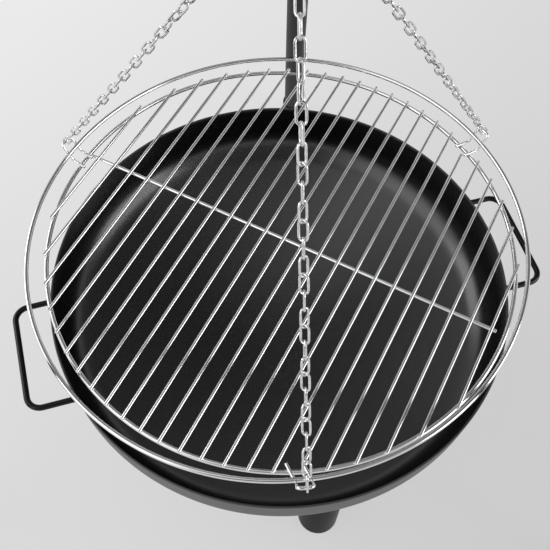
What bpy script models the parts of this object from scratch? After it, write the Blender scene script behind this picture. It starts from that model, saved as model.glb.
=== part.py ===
"""Fire pit grill: a steel bowl on three feet, a wire grate hung over it by chains, and a tripod.

Metres, +Z up. The ground is Z = 0 and the tripod's back leg points to +Y.
"""
import math

import bmesh
import bpy
from mathutils import Matrix, Vector

# Fire bowl: a dished end with a short upright wall
BOWL_RADIUS = 0.300
BOWL_SHEET = 0.0025
BOWL_WALL_HEIGHT = 0.038
BOWL_WALL_DRAFT = math.radians(2.5)
BOWL_KNUCKLE_RADIUS = 0.060
BOWL_CROWN_RADIUS = 0.600
BOWL_TURN = math.radians(19.6)
RIM_HEIGHT = 0.335
BOWL_SEGMENTS = 48

# Feet and handles of the bowl
FOOT_RADIUS = 0.03015
FOOT_WALL = 0.0029
FOOT_CIRCLE = 0.231
HANDLE_ROD = 0.004
HANDLE_WIDTH = 0.148
HANDLE_REACHES = {"right": 0.059, "left": 0.050}
HANDLE_DROP = 0.044
HANDLE_BEND = 0.018

# Tripod: the three leg axes meet at the apex
APEX_HEIGHT = 1.675
LEG_LEAN = math.radians(19.5)
LEG_RADIUS = 0.016
LEG_WALL = 0.002
LEG_NAMES = {"back": 90.0, "left": 210.0, "right": 330.0}
HEAD_SPREAD = 0.044
HEAD_PLATE_THICKNESS = 0.006
HEAD_PLATE_MARGIN = 0.003
HEAD_HOLE_RADIUS = 0.014
SOCKET_WALL = 0.003
SOCKET_LENGTH = 0.110
SOCKET_CLEARANCE = 0.0005
CAP_WALL = 0.003
CAP_HEIGHT = 0.045
CAP_FLOOR = 0.006
SCREW_RADIUS = 0.004
SCREW_HEAD_RADIUS = 0.0075
SCREW_HEAD_HEIGHT = 0.0055
SCREW_NECK = 0.006

# Grate: two rings, straight bars and a cross rod
GRATE_ABOVE_RIM = 0.0876
GRATE_TURN = math.radians(6.0)
BARS_TURN = math.radians(-30.0)
GRATE_RADIUS = 0.285
RAISED_RING_RADIUS = 0.2977
RAISED_RING_SHIFT = 0.0045
RAISED_RING_SHIFT_TURN = math.radians(221.0)
RAISED_RING_OVAL = 0.0048
RAISED_RING_OVAL_TURN = math.radians(33.5)
RAISED_RING_LEVEL = 0.0185
RAISED_RING_SEGMENTS = 96
RING_WIRE = 0.00275
BAR_WIRE = 0.002
BAR_PITCH = 0.02437
CROSS_ROD_WIRE = 0.00225
CROSS_ROD_INSET = 0.0105
CROSS_ROD_AIR = 0.0009
CROSS_ROD_OFFSET = 0.0065
CROSS_ROD_TURN = math.radians(0.38)
SHORT_BAR_RADIUS = 0.2740

# Brackets: bent wire eyes that join the rings and take the chains
BRACKET_WIRE = 0.002
BRACKET_START = 0.276
LEFT_BRACKET_TURN = math.radians(1.3)
BRACKET_HALF_WIDTH = 0.0087
BRACKET_RISE = 0.0225
BRACKET_DIP = 0.002
BRACKET_LEAN = math.radians(30.0)
BRACKET_BEND = 0.004
BRACKET_SKEW = {"left": math.radians(-10.0), "front": math.radians(22.0), "right": math.radians(-5.0)}

# Chains, hanging ring and pin
CHAIN_WIRE = 0.0014
CHAIN_PITCH = 0.017
CHAIN_WIDTH = 0.0115
CHAIN_BITE = 0.0002
HOIST_STEPS = 37
SPARE_LINKS = 3
HANGING_RING_RADIUS = 0.0175
HANGING_RING_WIRE = 0.0025
CHAIN_FAN = math.radians(40.0)
CHAIN_SEATS = {"left": 0.0, "front": 0.0015, "right": 0.0}
PIN_WIRE = 0.0025
PIN_LENGTH = 0.060
PIN_TAIL = 0.014

# Air between pieces that touch
GAP = 0.0003

# Heights and places that follow from the sizes above
LEG_SLOPE = math.tan(LEG_LEAN)
FOOTPRINT = APEX_HEIGHT * LEG_SLOPE
PLATE_BOTTOM = APEX_HEIGHT - HEAD_SPREAD / LEG_SLOPE
PLATE_TOP = PLATE_BOTTOM + HEAD_PLATE_THICKNESS
CAP_RADIUS = LEG_RADIUS + GAP + CAP_WALL
CHAIN_REACH = CHAIN_WIRE + CHAIN_BITE
LINK_LENGTH = CHAIN_PITCH + 2 * CHAIN_WIRE
PIN_HEIGHT = PLATE_TOP + GAP + PIN_WIRE
GRATE_HEIGHT = RIM_HEIGHT + GRATE_ABOVE_RIM


def tripod_axis_y():
    """Y of the tripod's axis, so that the three caps' outline is centred on the origin."""
    along = CAP_RADIUS / math.cos(LEG_LEAN)
    back = FOOTPRINT + along
    front = FOOTPRINT / 2 + math.hypot(along / 2, CAP_RADIUS * math.cos(math.radians(30)))
    return (front - back) / 2


AXIS_Y = tripod_axis_y()


def clear_scene():
    """Remove every object that the file starts with."""
    for item in list(bpy.data.objects):
        bpy.data.objects.remove(item)


def new_collection(name):
    """A collection linked to the scene."""
    group = bpy.data.collections.new(name)
    bpy.context.scene.collection.children.link(group)
    return group


def material(name, colour, roughness, metallic):
    """A Principled BSDF material."""
    made = bpy.data.materials.new(name)
    made.use_nodes = True
    shader = made.node_tree.nodes["Principled BSDF"]
    shader.inputs["Base Color"].default_value = (*colour, 1.0)
    shader.inputs["Roughness"].default_value = roughness
    shader.inputs["Metallic"].default_value = metallic
    return made


clear_scene()
PARTS = new_collection("fire_pit_grill")
CUTTERS = new_collection("cutters")
LACQUER = material("black_lacquer", (0.022, 0.022, 0.024), 0.42, 0.0)
CHROME = material("chromed_wire", (0.78, 0.78, 0.79), 0.12, 1.0)
ZINC = material("zinc_plated_steel", (0.62, 0.63, 0.64), 0.28, 1.0)
PLASTIC = material("black_plastic", (0.018, 0.018, 0.018), 0.55, 0.0)


def empty(name, place, turn=0.0, parent=None):
    """An empty that carries pieces, turned about Z."""
    made = bpy.data.objects.new(name, None)
    PARTS.objects.link(made)
    made.parent = parent
    made.location = place
    made.rotation_euler = (0, 0, turn)
    return made


STAND = empty("stand_axis", (0, AXIS_Y, 0))
BOWL_AXIS = empty("bowl_axis", (0, 0, RIM_HEIGHT), BOWL_TURN, STAND)
TURN_AXIS = empty("turn_axis", (0, 0, PIN_HEIGHT), 0.0, STAND)
RING_TOP = PIN_HEIGHT - (
    HOIST_STEPS * CHAIN_PITCH + LINK_LENGTH / 2 + (CHAIN_PITCH - 2 * CHAIN_WIRE) / 2
    - (CHAIN_REACH + PIN_WIRE + GAP) - (HANGING_RING_WIRE + CHAIN_REACH + GAP)
)
RING_CENTRE = RING_TOP - HANGING_RING_RADIUS
SWING_AXIS = empty("swing_axis", (0, 0, RING_CENTRE - PIN_HEIGHT), 0.0, TURN_AXIS)
GRATE_AXIS = empty("grate_axis", (0, 0, GRATE_HEIGHT - RING_CENTRE), GRATE_TURN, SWING_AXIS)


def add(name, data, finish=None, parent=STAND, matrix=None):
    """A named piece, placed under its parent; without a finish it is a cutter or a guide."""
    made = bpy.data.objects.new(name, data)
    made.parent = parent
    made.matrix_local = matrix if matrix is not None else Matrix.Identity(4)
    if finish is None:
        CUTTERS.objects.link(made)
        made.hide_render = True
        made.display_type = "WIRE"
    else:
        PARTS.objects.link(made)
        data.materials.append(finish)
    return made


def smooth(mesh, angle=40):
    """Shade round faces smooth and keep sharp edges sharp."""
    mesh.shade_smooth()
    mesh.set_sharp_from_angle(angle=math.radians(angle))


def lathe(name, profile, segments, finish=None, parent=STAND, matrix=None):
    """Turn a profile of (radius, height) points about Z; it runs down the outer side."""
    mesh = bpy.data.meshes.new(name)
    points = [(radius, 0.0, height) for radius, height in profile]
    mesh.from_pydata(points, [(i, i + 1) for i in range(len(points) - 1)], [])
    made = add(name, mesh, finish, parent, matrix)
    screw = made.modifiers.new("turn", "SCREW")
    screw.axis = "Z"
    screw.steps = segments
    screw.render_steps = segments
    screw.use_merge_vertices = True
    screw.merge_threshold = 0.00001
    screw.use_smooth_shade = True
    return made


def bar_matrix(start, end):
    """Place a Z-long bar of the right length midway between two points."""
    start, end = Vector(start), Vector(end)
    turn = (end - start).to_track_quat("Z", "Y").to_matrix().to_4x4()
    return Matrix.Translation((start + end) / 2) @ turn


def bar(name, start, end, radius, sides, finish=None, parent=STAND, top_radius=None):
    """A straight round bar, or a cone, between two points."""
    mesh = bpy.data.meshes.new(name)
    shape = bmesh.new()
    bmesh.ops.create_cone(
        shape, cap_ends=True, segments=sides, radius1=radius,
        radius2=radius if top_radius is None else top_radius,
        depth=(Vector(end) - Vector(start)).length,
    )
    shape.to_mesh(mesh)
    shape.free()
    smooth(mesh, 50)
    return add(name, mesh, finish, parent, bar_matrix(start, end))


def box(name, low, high):
    """A block that cuts, between two corners."""
    mesh = bpy.data.meshes.new(name)
    shape = bmesh.new()
    size = [b - a for a, b in zip(low, high)]
    middle = [(a + b) / 2 for a, b in zip(low, high)]
    bmesh.ops.create_cube(shape, size=1.0, matrix=Matrix.Diagonal((*size, 1.0)))
    shape.to_mesh(mesh)
    shape.free()
    return add(name, mesh, matrix=Matrix.Translation(middle))


def boolean(target, tool, operation="DIFFERENCE"):
    """Cut a tool out of a piece, or join it on."""
    cut = target.modifiers.new(tool.name, "BOOLEAN")
    cut.operation = operation
    cut.solver = "EXACT"
    cut.object = tool


def rounded(points, radius, steps):
    """A path through corner points, each inner corner replaced by an arc."""
    points = [Vector(point) for point in points]
    path = [points[0]]
    for before, corner, after in zip(points, points[1:], points[2:]):
        back, ahead = (before - corner).normalized(), (after - corner).normalized()
        half = back.angle(ahead) / 2
        reach = radius / math.tan(half)
        centre = corner + (back + ahead).normalized() * radius / math.sin(half)
        first = corner + back * reach - centre
        last = corner + ahead * reach - centre
        for step in range(steps + 1):
            path.append(centre + first.slerp(last, step / steps).normalized() * first.length)
    path.append(points[-1])
    return path


def wire(name, path, radius, finish=None, parent=STAND, roundness=2, closed=False):
    """A bent round wire: a bevelled curve with filled caps."""
    curve = bpy.data.curves.new(name, "CURVE")
    curve.dimensions = "3D"
    curve.bevel_depth = radius
    curve.bevel_resolution = roundness
    curve.use_fill_caps = True
    spline = curve.splines.new("POLY")
    spline.points.add(len(path) - 1)
    for knot, place in zip(spline.points, path):
        knot.co = (*place, 1.0)
    spline.use_cyclic_u = closed
    spline.use_smooth = True
    return add(name, curve, finish, parent)


def ring(name, radius, wire_radius, matrix, finish, parent, segments):
    """A round wire bent to a closed ring."""
    path = [
        matrix @ Vector((radius * math.cos(turn), radius * math.sin(turn), 0))
        for turn in (2 * math.pi * step / segments for step in range(segments))
    ]
    return wire(name, path, wire_radius, finish, parent, closed=True)


def bowl_profile(grow=0.0):
    """Outer line of the bowl from rim to middle, moved out by grow: wall, knuckle arc, crown arc."""
    wall_foot = BOWL_RADIUS - BOWL_WALL_HEIGHT * math.tan(BOWL_WALL_DRAFT)
    knuckle_x = wall_foot - BOWL_KNUCKLE_RADIUS * math.cos(BOWL_WALL_DRAFT)
    knuckle_z = -BOWL_WALL_HEIGHT + BOWL_KNUCKLE_RADIUS * math.sin(BOWL_WALL_DRAFT)
    reach = BOWL_CROWN_RADIUS - BOWL_KNUCKLE_RADIUS
    crown_z = knuckle_z + math.sqrt(reach**2 - knuckle_x**2)
    crown_angle = math.asin(knuckle_x / reach)
    points = [(BOWL_RADIUS + grow / math.cos(BOWL_WALL_DRAFT), 0.0)]
    first, last, steps = BOWL_WALL_DRAFT, math.pi / 2 - crown_angle, 5
    for step in range(steps + 1):
        turn = first + (last - first) * step / steps
        radius = BOWL_KNUCKLE_RADIUS + grow
        points.append((knuckle_x + radius * math.cos(turn), knuckle_z - radius * math.sin(turn)))
    steps = 4
    for step in range(1, steps):
        turn = crown_angle * (1 - step / steps)
        radius = BOWL_CROWN_RADIUS + grow
        points.append((radius * math.sin(turn), crown_z - radius * math.cos(turn)))
    points.append((0.0, crown_z - BOWL_CROWN_RADIUS - grow))
    return points


def make_bowl():
    """The pan: a turned sheet, thickened to the inside."""
    bowl = lathe("fire_bowl", bowl_profile(), BOWL_SEGMENTS, LACQUER, BOWL_AXIS)
    sheet = bowl.modifiers.new("sheet", "SOLIDIFY")
    sheet.thickness = BOWL_SHEET
    sheet.offset = -1


def make_feet():
    """Three tube feet with closed ends, cut to the bowl's underside."""
    bowl_shape = lathe(
        "bowl_shape", [(0.0, 0.001)] + [(bowl_profile(GAP)[0][0], 0.001)] + bowl_profile(GAP)[1:],
        BOWL_SEGMENTS, parent=BOWL_AXIS,
    )
    inner = FOOT_RADIUS - FOOT_WALL
    top = RIM_HEIGHT - BOWL_WALL_HEIGHT
    profile = [(0, FOOT_WALL), (inner, FOOT_WALL), (inner, top), (FOOT_RADIUS, top), (FOOT_RADIUS, 0), (0, 0)]
    for number, azimuth in enumerate((-90, 30, 150), start=1):
        turn = math.radians(azimuth)
        place = (FOOT_CIRCLE * math.cos(turn), FOOT_CIRCLE * math.sin(turn), -RIM_HEIGHT)
        foot = lathe(
            f"bowl_foot_{number}", profile, 24, LACQUER, BOWL_AXIS,
            Matrix.Translation(place) @ Matrix.Rotation(turn, 4, "Z"),
        )
        boolean(foot, bowl_shape)


def facet_reach(aside, height):
    """How far along X the bowl's flat facets reach, at a distance aside and a height from the rim."""
    points = bowl_profile()
    (outer, top), (inner, low) = next(pair for pair in zip(points, points[1:]) if pair[1][1] <= height)
    radius = inner + (outer - inner) * (height - low) / (top - low)
    half_facet = math.pi / BOWL_SEGMENTS
    return min(
        (radius * math.cos(half_facet) - aside * math.sin(turn)) / math.cos(turn)
        for turn in (half_facet * odd for odd in range(1, BOWL_SEGMENTS // 2, 2))
    )


def make_handles():
    """Two U-shaped rods whose square ends meet the bowl at the foot of its wall."""
    half = HANDLE_WIDTH / 2
    start = GAP + max(
        facet_reach(half + HANDLE_ROD * math.cos(turn), HANDLE_ROD * math.sin(turn) - HANDLE_DROP)
        for turn in (math.tau * step / 24 for step in range(24))
    )
    for name, side in (("right", 1), ("left", -1)):
        reach = BOWL_RADIUS + HANDLE_REACHES[name]
        corners = [(start, -half), (reach, -half), (reach, half), (start, half)]
        path = rounded([(side * x, side * y, -HANDLE_DROP) for x, y in corners], HANDLE_BEND, 4)
        wire(f"bowl_handle_{name}", path, HANDLE_ROD, LACQUER, BOWL_AXIS)


def leg_point(azimuth, distance, lift=0.0):
    """Point on a leg's axis at a distance from the apex, moved outward square to the leg."""
    turn = math.radians(azimuth)
    out = distance * math.sin(LEG_LEAN) + lift * math.cos(LEG_LEAN)
    height = APEX_HEIGHT - distance * math.cos(LEG_LEAN) + lift * math.sin(LEG_LEAN)
    return Vector((out * math.cos(turn), out * math.sin(turn), height))


def along_leg(height):
    """Distance from the apex to the place where a leg's axis is at a height."""
    return (APEX_HEIGHT - height) / math.cos(LEG_LEAN)


def make_tripod():
    """Head, three legs in its sockets, their clamping screws and end caps."""
    socket_outer = LEG_RADIUS + SOCKET_CLEARANCE + SOCKET_WALL
    plate_radius = HEAD_SPREAD + socket_outer + HEAD_PLATE_MARGIN
    bore_radius = LEG_RADIUS + SOCKET_CLEARANCE
    bore_top = along_leg(PLATE_BOTTOM - bore_radius * math.sin(LEG_LEAN) - SOCKET_WALL)
    leg_top = bore_top + GAP
    leg_bottom = along_leg(LEG_RADIUS * math.sin(LEG_LEAN) + CAP_FLOOR)
    socket_top = along_leg(PLATE_TOP + socket_outer)
    socket_end = along_leg(PLATE_BOTTOM) + SOCKET_LENGTH
    screw_place = along_leg(PLATE_BOTTOM) + SOCKET_LENGTH / 2
    plate_middle = (PLATE_BOTTOM + PLATE_TOP) / 2

    head = bar("tripod_head", (0, 0, PLATE_BOTTOM), (0, 0, PLATE_TOP), plate_radius, 36, ZINC)
    head.data.materials[0] = LACQUER
    above = box("above_plate", (-0.2, -0.2, plate_middle), (0.2, 0.2, PLATE_TOP + 0.2))
    ground = box("below_ground", (-1, -1, -0.2), (1, 1, 0))
    hole = bar("chain_hole", (0, 0, PLATE_BOTTOM - 0.01), (0, 0, PLATE_TOP + 0.01), HEAD_HOLE_RADIUS, 24)
    for name, azimuth in LEG_NAMES.items():
        socket = bar(
            f"socket_{name}", leg_point(azimuth, socket_end), leg_point(azimuth, socket_top), socket_outer, 20
        )
        boolean(socket, above)
        boolean(head, socket, "UNION")
    for name, azimuth in LEG_NAMES.items():
        bore = bar(
            f"bore_{name}", leg_point(azimuth, socket_end + 0.01), leg_point(azimuth, bore_top),
            bore_radius, 20,
        )
        boolean(head, bore)
        screw_hole = bar(
            f"screw_hole_{name}", leg_point(azimuth, screw_place, LEG_RADIUS / 2),
            leg_point(azimuth, screw_place, socket_outer + 0.01), SCREW_RADIUS + GAP, 12,
        )
        boolean(head, screw_hole)
    boolean(head, hole)

    for name, azimuth in LEG_NAMES.items():
        leg = bar(
            f"tripod_leg_{name}", leg_point(azimuth, leg_bottom), leg_point(azimuth, leg_top),
            LEG_RADIUS, 20, LACQUER,
        )
        inside = bar(
            f"leg_inside_{name}", leg_point(azimuth, leg_bottom + 0.01), leg_point(azimuth, leg_top - 0.01),
            LEG_RADIUS - LEG_WALL, 12,
        )
        boolean(leg, inside)
        neck = socket_outer + SCREW_NECK
        screw = bar(
            f"leg_screw_{name}", leg_point(azimuth, screw_place, LEG_RADIUS + GAP),
            leg_point(azimuth, screw_place, neck + SCREW_HEAD_HEIGHT / 2), SCREW_RADIUS, 12, ZINC,
        )
        screw_head = bar(
            f"screw_head_{name}", leg_point(azimuth, screw_place, neck),
            leg_point(azimuth, screw_place, neck + SCREW_HEAD_HEIGHT), SCREW_HEAD_RADIUS, 6,
        )
        boolean(screw, screw_head, "UNION")
        cap = bar(
            f"leg_cap_{name}", leg_point(azimuth, along_leg(-0.02)),
            leg_point(azimuth, leg_bottom - CAP_HEIGHT), CAP_RADIUS, 24, PLASTIC,
        )
        cap_bore = bar(
            f"cap_bore_{name}", leg_point(azimuth, leg_bottom + GAP),
            leg_point(azimuth, leg_bottom - CAP_HEIGHT - 0.01), LEG_RADIUS + GAP, 20,
        )
        boolean(cap, cap_bore)
        boolean(cap, ground)


def link_mesh(pitch):
    """One chain link, long along X and open along Z: a closed wire through eight points."""
    half_length = (pitch + 2 * CHAIN_WIRE) / 2
    half_width = CHAIN_WIDTH / 2 - CHAIN_WIRE
    nose = half_width * math.tan(math.pi / 8)
    shoulder = half_length - half_width + nose
    quarter = [(half_length, nose), (shoulder, half_width)]
    outline = quarter + [(-x, y) for x, y in reversed(quarter)]
    outline += [(-x, -y) for x, y in quarter] + [(x, -y) for x, y in reversed(quarter)]
    guide = wire("link_guide", [(x, y, 0) for x, y in outline], CHAIN_REACH, roundness=0, closed=True)
    bpy.context.view_layer.update()
    graph = bpy.context.evaluated_depsgraph_get()
    mesh = bpy.data.meshes.new_from_object(guide.evaluated_get(graph))
    bpy.data.objects.remove(guide)
    return mesh


def chain_frames(low_end, high_end, low_normal, high_normal):
    """Link pitch and link places of a taut chain whose end wires pass through two points.

    Each link is turned a quarter turn from the last, and the rest of the turn that the two end
    links need is shared out along the chain.
    """
    along = high_end - low_end
    count = round((along.length - 2 * CHAIN_WIRE) / CHAIN_PITCH)
    pitch = (along.length - 2 * CHAIN_WIRE) / count
    along.normalize()
    first = (low_normal - along * low_normal.dot(along)).normalized()
    last = (high_normal - along * high_normal.dot(along)).normalized()
    wanted = math.atan2(first.cross(last).dot(along), first.dot(last))
    spare = (wanted - (count - 1) * math.pi / 2 + math.pi / 2) % math.pi - math.pi / 2
    frames = []
    for number in range(count):
        turn = number * (math.pi / 2 + spare / (count - 1))
        normal = Matrix.Rotation(turn, 3, along) @ first
        frame = Matrix((along, normal.cross(along), normal)).transposed().to_4x4()
        frame.translation = low_end + along * (pitch / 2 + CHAIN_WIRE + number * pitch)
        frames.append(frame)
    return pitch, frames


def make_chain(name, pitch, frames, parent):
    """Links laid in place: the even ones and the odd ones, joined where they bear on each other."""
    link = link_mesh(pitch)
    halves = []
    for start, label in enumerate((name, f"{name}_odd_links")):
        mesh = bpy.data.meshes.new(label)
        shape = bmesh.new()
        for frame in frames[start::2]:
            count = len(shape.verts)
            shape.from_mesh(link)
            shape.verts.ensure_lookup_table()
            bmesh.ops.transform(shape, matrix=frame, verts=shape.verts[count:])
        shape.to_mesh(mesh)
        shape.free()
        halves.append(add(label, mesh, CHROME if start == 0 else None, parent))
    boolean(halves[0], halves[1], "UNION")


def make_hanger():
    """Pin, hoist chain and hanging ring, on the tripod's axis."""
    along_y = HOIST_STEPS % 2
    side = Vector((0, 1, 0)) if along_y else Vector((1, 0, 0))
    path = rounded(
        [side * -PIN_LENGTH / 2, side * PIN_LENGTH / 2, side * PIN_LENGTH / 2 + Vector((0, 0, PIN_TAIL))],
        PIN_WIRE * 2, 4,
    )
    wire("chain_pin", path, PIN_WIRE, ZINC, TURN_AXIS)
    ring_top = RING_TOP - PIN_HEIGHT
    low = Vector((0, 0, ring_top - HANGING_RING_WIRE - CHAIN_REACH - GAP))
    length = (HOIST_STEPS + 1 + SPARE_LINKS) * CHAIN_PITCH + 2 * CHAIN_WIRE
    high = low + Vector((0, 0, length))
    top_normal = Vector((0, 1, 0)) if (HOIST_STEPS + SPARE_LINKS) % 2 else Vector((1, 0, 0))
    pitch, frames = chain_frames(low, high, Vector((1, 0, 0)), top_normal)
    make_chain("hoist_chain", pitch, frames, TURN_AXIS)
    upright = Matrix.Rotation(math.pi / 2, 4, "X")
    ring("hanging_ring", HANGING_RING_RADIUS, HANGING_RING_WIRE, upright, ZINC, SWING_AXIS, 24)


def raised_reach(turn):
    """Distance of the raised ring's wire from the grate's axis: round, a little off centre and oval."""
    shift = RAISED_RING_SHIFT * math.cos(turn - RAISED_RING_SHIFT_TURN)
    return RAISED_RING_RADIUS + shift + RAISED_RING_OVAL * math.cos(2 * (turn - RAISED_RING_OVAL_TURN))


def bracket_places():
    """Azimuth of each bracket in the grate's frame, where the bars run along +Y.

    The left one faces the cross rod's end; the other two stand at the ends of one shortened bar.
    """
    shortened = round(GRATE_RADIUS / 2 / BAR_PITCH) * BAR_PITCH
    off_axis = math.asin(shortened / ((BRACKET_START + GRATE_RADIUS) / 2))
    azimuths = {
        "left": math.pi + LEFT_BRACKET_TURN,
        "front": off_axis - math.pi / 2,
        "right": math.pi / 2 - off_axis,
    }
    return azimuths, shortened


def bracket_arm(turn, aside, prong_level, crest):
    """Where one arm of a bracket bends up, and where it ends, as distances along the bracket's azimuth.

    The arm leans outward, and the raised ring lies against its inner side.
    """
    there = turn + math.atan2(aside, RAISED_RING_RADIUS)
    on_ring = raised_reach(there) * math.cos(there - turn)
    beside = on_ring + (BRACKET_WIRE + RING_WIRE + GAP) / math.cos(BRACKET_LEAN)
    slope = math.tan(BRACKET_LEAN)
    return beside - (RAISED_RING_LEVEL - prong_level) * slope, beside + (crest - RAISED_RING_LEVEL) * slope


def make_bracket(name, turn, prong_level):
    """One bracket: two prongs on the lower ring, two arms outside the raised ring, and a sagging bow.

    Returns the middle of the bow, where the chain hangs.
    """
    out = Vector((math.cos(turn), math.sin(turn), 0))
    side = Vector((-math.sin(turn), math.cos(turn), 0))
    up = Vector((0, 0, 1))
    crest = prong_level + BRACKET_RISE
    halves, tips = [], []
    for aside in (-BRACKET_HALF_WIDTH, BRACKET_HALF_WIDTH):
        bend, tip = bracket_arm(turn, aside, prong_level, crest)
        skewed = aside - (bend - BRACKET_START) * math.tan(BRACKET_SKEW[name])
        halves.append([
            out * BRACKET_START + side * skewed + up * prong_level,
            out * bend + side * aside + up * prong_level,
            out * tip + side * aside + up * crest,
        ])
        tips.append(tip)
    seat = out * sum(tips) / 2 + side * CHAIN_SEATS[name] + up * (crest - BRACKET_DIP)
    corners = halves[0] + [seat] + halves[1][::-1]
    wire(f"bracket_{name}", rounded(corners, BRACKET_BEND, 3), BRACKET_WIRE, CHROME, GRATE_AXIS)
    return seat, side


def make_grate():
    """Rings, bars, cross rod, brackets and the three chains, about the grate's own axis."""
    azimuths, shortened = bracket_places()
    to_grate = Matrix.Rotation(BARS_TURN, 4, "Z")
    bar_level = RING_WIRE + BAR_WIRE + GAP
    prong_level = RING_WIRE + BRACKET_WIRE + GAP
    rod_level = bar_level - BAR_WIRE - CROSS_ROD_WIRE - GAP
    ring("grate_ring", GRATE_RADIUS, RING_WIRE, Matrix.Identity(4), CHROME, GRATE_AXIS, 48)
    turns = [2 * math.pi * step / RAISED_RING_SEGMENTS for step in range(RAISED_RING_SEGMENTS)]
    path = [
        Vector((raised_reach(turn) * math.cos(turn), raised_reach(turn) * math.sin(turn), RAISED_RING_LEVEL))
        for turn in turns
    ]
    wire("raised_ring", path, RING_WIRE, CHROME, GRATE_AXIS, closed=True)

    flush = GRATE_RADIUS + RING_WIRE
    each_side = int((flush - BAR_PITCH / 2 - BAR_WIRE) / BAR_PITCH)
    for number in range(-each_side, each_side + 1):
        offset = number * BAR_PITCH
        is_short = abs(offset - shortened) < BAR_PITCH / 2
        reach = math.sqrt((SHORT_BAR_RADIUS if is_short else flush) ** 2 - offset**2)
        bar(
            f"grate_bar_{number + each_side + 1:02d}", to_grate @ Vector((offset, -reach, bar_level)),
            to_grate @ Vector((offset, reach, bar_level)), BAR_WIRE, 8, CHROME, GRATE_AXIS,
        )
    place = Matrix.Translation((0, CROSS_ROD_OFFSET, rod_level))
    to_rod = to_grate @ place @ Matrix.Rotation(CROSS_ROD_TURN, 4, "Z")
    bar(
        "cross_rod", to_rod @ Vector((RING_WIRE + CROSS_ROD_AIR - GRATE_RADIUS, 0, 0)),
        to_rod @ Vector((GRATE_RADIUS - CROSS_ROD_INSET, 0, 0)), CROSS_ROD_WIRE, 8, CHROME, GRATE_AXIS,
    )

    ring_middle = Vector((0, 0, RING_CENTRE - GRATE_HEIGHT))
    unturn = Matrix.Rotation(-GRATE_TURN, 3, "Z")
    fan = {"left": -CHAIN_FAN, "front": 0.0, "right": CHAIN_FAN}
    for name, azimuth in azimuths.items():
        lower, side = make_bracket(name, azimuth + BARS_TURN, prong_level)
        sweep = fan[name]
        on_ring = Vector((math.sin(sweep), 0, -math.cos(sweep))) * HANGING_RING_RADIUS
        tangent = Vector((math.cos(sweep), 0, math.sin(sweep)))
        upper = ring_middle + unturn @ on_ring
        along = (upper - lower).normalized()
        low = lower - along * (BRACKET_WIRE + CHAIN_REACH + GAP)
        high = upper + along * (HANGING_RING_WIRE + CHAIN_REACH + GAP)
        pitch, frames = chain_frames(low, high, side, unturn @ tangent)
        make_chain(f"grate_chain_{name}", pitch, frames, GRATE_AXIS)


make_bowl()
make_feet()
make_handles()
make_tripod()
make_hanger()
make_grate()
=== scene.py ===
"""Fire pit grill: the looks of a lacquered fire bowl under a chain-hung wire grate on a tripod.

Metres, +Z up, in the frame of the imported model. Each section makes one group of pieces. A size
with only the name of a round piece, such as LEG, SCREW or BAR_ROD, is its radius, and AIR is the
gap between neighbouring solids of the model.
"""
import math

import bpy
import numpy as np
from mathutils import Matrix, Vector


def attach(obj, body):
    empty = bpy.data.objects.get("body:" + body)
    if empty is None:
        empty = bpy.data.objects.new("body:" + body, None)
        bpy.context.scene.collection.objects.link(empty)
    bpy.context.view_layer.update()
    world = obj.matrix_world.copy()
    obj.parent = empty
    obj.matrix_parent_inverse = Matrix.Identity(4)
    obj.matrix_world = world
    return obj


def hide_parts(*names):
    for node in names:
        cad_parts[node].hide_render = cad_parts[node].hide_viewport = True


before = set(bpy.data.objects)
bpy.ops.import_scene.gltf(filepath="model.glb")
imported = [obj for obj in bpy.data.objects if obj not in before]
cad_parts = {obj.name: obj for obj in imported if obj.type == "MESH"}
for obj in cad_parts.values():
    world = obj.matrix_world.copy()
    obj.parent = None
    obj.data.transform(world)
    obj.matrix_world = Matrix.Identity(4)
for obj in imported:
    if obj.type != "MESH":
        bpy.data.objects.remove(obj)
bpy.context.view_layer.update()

# The camera stands in front of the grill, a little above head height of a seated person, and looks
# steeply down into the bowl. Its place and its lens follow from the rings and bars in the picture.
AXIS_Y = -0.148724
RIM_HEIGHT = 0.335
SENSOR_WIDTH = 36.0
PICTURE_PIXELS = 550
FOCAL_PIXELS = 805.79
CAMERA_PLACE = (0.007865, AXIS_Y - 0.53654, RIM_HEIGHT + 0.91929)
CAMERA_LOOK = (-0.01414, 0.50832, -0.86105)
CAMERA_UP = (-0.05952, 0.85918, 0.50820)
camera_data = bpy.data.cameras.new("camera")
camera_data.sensor_width = SENSOR_WIDTH
camera_data.lens = FOCAL_PIXELS / PICTURE_PIXELS * SENSOR_WIDTH
camera_data.clip_end = 100.0
camera = bpy.data.objects.new("camera", camera_data)
bpy.context.scene.collection.objects.link(camera)
look = Vector(CAMERA_LOOK).normalized()
right = look.cross(Vector(CAMERA_UP)).normalized()
camera.matrix_world = Matrix.Translation(CAMERA_PLACE) @ (
    Matrix((right, right.cross(look), -look)).transposed().to_4x4()
)
bpy.context.scene.camera = camera
bpy.context.scene.view_settings.view_transform = "Standard"


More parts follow.
